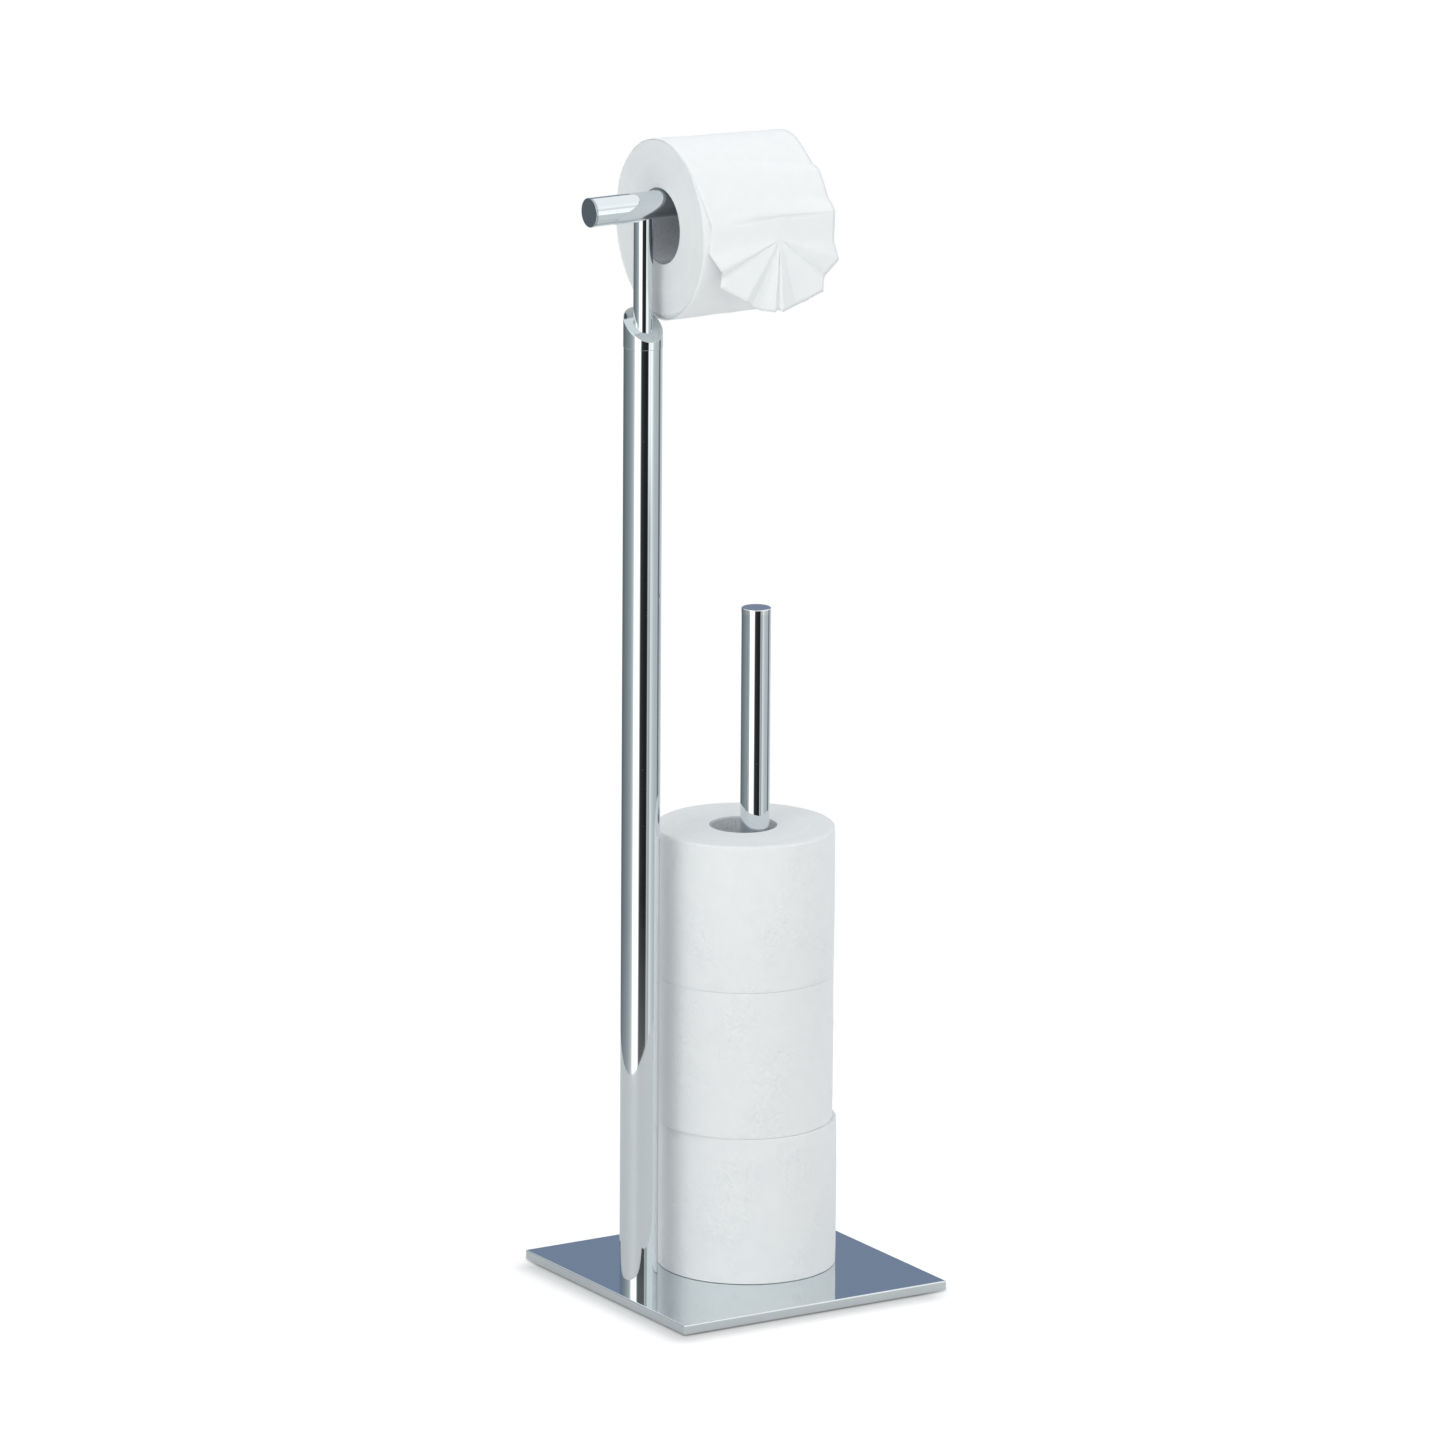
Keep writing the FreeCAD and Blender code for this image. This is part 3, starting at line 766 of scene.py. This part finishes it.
FRONT_FOLDS = [  # (y, z) at the left edge and at the right edge, from the top down to the crease
    ((2.3, 762.1), (-1.2, 758.9)),
    ((-12.5, 760.2), (-11.6, 756.3)),
    ((-27.5, 753.9), (-31.2, 742.6)),
    ((-38.5, 745.4), (-39.0, 740.2)),
    ((-48.2, 732.6), (-50.0, 723.9)),
    ((-54.2, 715.3), (-58.6, 717.2)),
]
FOLD_SHARES = (0.0, 0.05, 0.3, 0.6, 0.95)  # rows between two folds, close to each so that it stays sharp
FOLD_BULGE = 0.4  # how far the sheet bows out between two folds
CREASE_TUCK = 3.9  # how far in from the sheet's left edge the crease's left end lies
CREASE_LEFT = (SHEET_LEFT_X + CREASE_TUCK, *FRONT_FOLDS[-1][0])
CREASE_MID = (-7.5, -58.1, 718.3)
CREASE_RIGHT = (SHEET_RIGHT_X, *FRONT_FOLDS[-1][1])
HUB = (-7.5, -57.6, 702.6)  # where the pleats meet
FOLD_LEFT, FOLD_RIGHT = (-59.2, -54.9, 698.3), (33.1, -57.6, 697.0)
PLEATS = [  # the outer end of each fold, from the left corner round to the right tip
    (-52.2, -60.0, 686.0), (-49.9, -56.0, 682.2), (-52.2, -58.2, 675.9), (-34.4, -60.6, 665.1),
    (-27.6, -55.2, 660.6), (-20.0, -56.6, 657.3), (-12.2, -60.0, 655.9), (-8.9, -57.4, 657.0),
    (-6.2, -60.0, 655.6), (6.5, -54.2, 657.5), (24.3, -59.4, 665.7), (23.7, -60.4, 673.5),
    (27.5, -56.2, 675.4), (35.2, -60.6, 685.5),
]
HALF = 18  # columns from the middle of the sheet to each edge
FLAP_ROWS, RIDGE_ROWS = 4, 5  # from the crease to the fold line, and on to the fan's upper edge
PLEAT_SHARES = (0.0, 0.08, 0.5, 0.92, 1.0)  # across a pleat, close to each fold so that it stays sharp
BROAD_CRUMPLE, FINE_CRUMPLE = 0.35, 0.12
WELD = 0.02 * MM


def between(p, q, t):
    return tuple(a + (b - a) * t for a, b in zip(p, q))


def across(left, middle, right):
    """Points on a line across the sheet that bends at its middle, from left to right."""
    found = [between(middle, left, i / HALF) for i in range(HALF, 0, -1)]
    return found + [between(middle, right, i / HALF) for i in range(HALF + 1)]


def near_face_x(y):
    """Where the hung winding's near end lies, at y."""
    return NEAR_FACE_X - math.tan(HANG_TURN) * y


def turn_edges(degrees):
    """The (y, z) of the last turn's left and right edges."""
    near = TURN_NEAR_R + TURN_NEAR_SAG * hump(degrees, -88, 34)
    far = TURN_FAR_R + TURN_FAR_SAG * hump(degrees, -80, 60) - TURN_FAR_PRESSED * hump(degrees, 48, 26)
    far += TURN_FAR_RAISED * hump(degrees, -258, 32)
    a = math.radians(degrees)
    left = (NEAR_AXIS_Y - near * math.cos(a), HUNG_AXIS_Z + near * math.sin(a))
    right = (FAR_AXIS_Y - far * math.cos(a), HUNG_AXIS_Z + far * math.sin(a))
    return left, right


def over_rows():
    """Rows of the sheet from where it leaves the winding, round the roll and down to the crease."""
    crease = across(CREASE_LEFT, CREASE_MID, CREASE_RIGHT)
    span = crease[-1][0] - crease[0][0]
    widths = [(p[0] - crease[0][0]) / span for p in crease]

    def row(left, right, left_x, right_x):
        """One row, from (y, z) at its left edge to (y, z) at its right edge."""
        return [(left_x + (right_x - left_x) * w, *between(left, right, w)) for w in widths]

    rows = []
    for i in range(TURN_STEPS):
        left, right = turn_edges(TURN_START + (TURN_END - TURN_START) * i / TURN_STEPS)
        rows.append(row(left, right, near_face_x(left[0]), SHEET_RIGHT_X + TURN_WIDER))
    folds = len(FRONT_FOLDS) - 1
    for k in range(folds):
        (left_a, right_a), (left_b, right_b) = FRONT_FOLDS[k], FRONT_FOLDS[k + 1]
        for t in FOLD_SHARES:
            bulge = FOLD_BULGE * math.sin(math.pi * t)
            left, right = between(left_a, left_b, t), between(right_a, right_b, t)
            left = (left[0] - bulge, left[1] + bulge)
            right = (right[0] - bulge, right[1] + bulge)
            face = near_face_x(left[0])
            left_x = face + (CREASE_LEFT[0] - face) * ((k + t) / folds) ** 5
            rows.append(row(left, right, left_x, SHEET_RIGHT_X))
    rows.append(crease)
    return rows


def flap_rows():
    """Rows from the crease down to the fold line, which meets the hub, and on to the fan's upper edge."""
    columns = []
    crease = across(CREASE_LEFT, CREASE_MID, CREASE_RIGHT)
    fold_line = across(FOLD_LEFT, HUB, FOLD_RIGHT)
    ridge_line = across(PLEATS[0], HUB, PLEATS[-1])
    for top, fold, ridge in zip(crease, fold_line, ridge_line):
        column = [between(top, fold, i / FLAP_ROWS) for i in range(FLAP_ROWS)]
        column += [between(fold, ridge, i / RIDGE_ROWS) for i in range(RIDGE_ROWS + 1)]
        columns.append(column)
    return [list(row) for row in zip(*columns)]


def pleat_rows(a, b):
    """Rows of the pleat between the folds that end at a and b, each row from the hub outwards."""
    ends = [between(a, b, share) for share in PLEAT_SHARES]
    return [[between(HUB, end, i / HALF) for i in range(HALF + 1)] for end in ends]


def build_sheet():
    """Points in mm and faces of the sheet as one surface, with its seams still doubled."""
    points, faces = [], []
    parts = [over_rows(), flap_rows()]
    parts += [pleat_rows(a, b) for a, b in zip(PLEATS, PLEATS[1:])]
    for rows in parts:
        start, wide = len(points), len(rows[0])
        for row in rows:
            points.extend(row)
        for i in range(len(rows) - 1):
            for j in range(wide - 1):
                a = start + i * wide + j
                faces.append((a, a + 1, a + wide + 1, a + wide))
    return points, faces


def make_sheet(material):
    """The loose sheet, a little crumpled, as one thin surface with a thickness."""
    points, faces = build_sheet()
    crumpled = []
    for x, y, z in points:
        shove = BROAD_CRUMPLE * wobble(x, y, z, 14.0, 3.1) + FINE_CRUMPLE * wobble(x, y, z, 5.0, 5.7)
        out = Vector((0.0, y, z - ROLL_AXIS_Z)).normalized()
        crumpled.append((MM * x, MM * (y + shove * out.y), MM * (z + shove * out.z)))
    sheet = make_piece("roll_loose_sheet", crumpled, faces, [material])
    bm = bmesh.new()
    bm.from_mesh(sheet.data)
    bmesh.ops.remove_doubles(bm, verts=bm.verts, dist=WELD)
    bmesh.ops.recalc_face_normals(bm, faces=bm.faces)
    area = sum(f.calc_area() for f in bm.faces)
    bm.to_mesh(sheet.data)
    bm.free()
    sheet.data.polygons.foreach_set("use_smooth", [True] * len(sheet.data.polygons))
    thick = sheet.modifiers.new("thickness", "SOLIDIFY")
    thick.thickness = SHEET_THICK * MM
    thick.offset = 0.0
    ride_for(sheet, "paper_tail")


# ---- assembly -----------------------------------------------------------------------------------
CHROME = (0.735, 0.785, 0.8)
# The bar's end caps: the same chrome, darker, a painted shade in what they mirror.
CAP_CHROME = (0.42, 0.46, 0.5)
# The post's cap: the same chrome, brighter, a painted light in what it mirrors.
POST_CAP_CHROME = (0.86, 0.86, 0.855)
ZINC = (0.56, 0.57, 0.58)
SPRING_STEEL = (0.3, 0.31, 0.34)
RUBBER = (0.025, 0.025, 0.027)
NYLON = (0.8, 0.79, 0.75)
HUNG_CORE_SHADE = 0.55  # how dark the painted shade makes the hung roll's core on its low-y side
SPARE_CRINKLES, ROLL_CRINKLES, SHEET_CRINKLES = 0.9 * MM, 0.3 * MM, 0.2 * MM


def dress(nodes, material):
    """Give CAD nodes a material."""
    for name in nodes:
        mesh = frame["nodes"][name].data
        mesh.materials.clear()
        mesh.materials.append(material)


def by_slot(slot):
    """The CAD nodes whose material slot is this one."""
    return [s["node"] for s in frame["record"]["subparts"] if s["material_slot"] == slot]


def dress_cad_nodes():
    dress(by_slot("chrome"), chrome_material("polished_chrome", CHROME))
    dress(["bar_end_cap_near", "bar_end_cap_far"], chrome_material("cap_chrome", CAP_CHROME))
    dress(["post_cap"], chrome_material("post_cap_chrome", POST_CAP_CHROME))
    dress(by_slot("zinc_steel"), steel_material("zinc_plated_steel", ZINC, 0.3, 1.5 * MM))
    dress(by_slot("spring_steel"), steel_material("blued_spring_steel", SPRING_STEEL, 0.25, 0.8 * MM))
    dress(by_slot("black_rubber"), moulded_material("black_rubber", RUBBER, 0.65, 1.2 * MM))
    dress(by_slot("white_nylon"), moulded_material("white_nylon", NYLON, 0.4, 2.0 * MM))


def make_rolls():
    """The four rolls' windings and cores, and the loose sheet."""
    cut = cut_tissue_material()
    card_cut = card_material("cut_board", CUT_CARD, CUT_CARD_SHADE)
    card = [card_material("grey_board", CARD, CARD_SHADE), card_cut]
    dark_card = [card_material("darker_grey_board", DARK_CARD, DARK_CARD_SHADE, HUNG_CORE_SHADE), card_cut]
    for number, name in enumerate(("spare_bottom", "spare_middle", "spare_top")):
        tissue = tissue_material(name + "_tissue", SPARE_CRINKLES, 0.31 * number)
        make_spare(name, 1.7 + 2.9 * number, [tissue, cut], card)
    make_hung_roll([tissue_material("roll_tissue", ROLL_CRINKLES, 1.1), cut], dark_card)
    make_sheet(tissue_material("sheet_tissue", SHEET_CRINKLES, 1.7))


add_camera()
add_world()
add_table()
dress_cad_nodes()
make_rolls()

scene = bpy.context.scene
scene.view_settings.view_transform = "Standard"
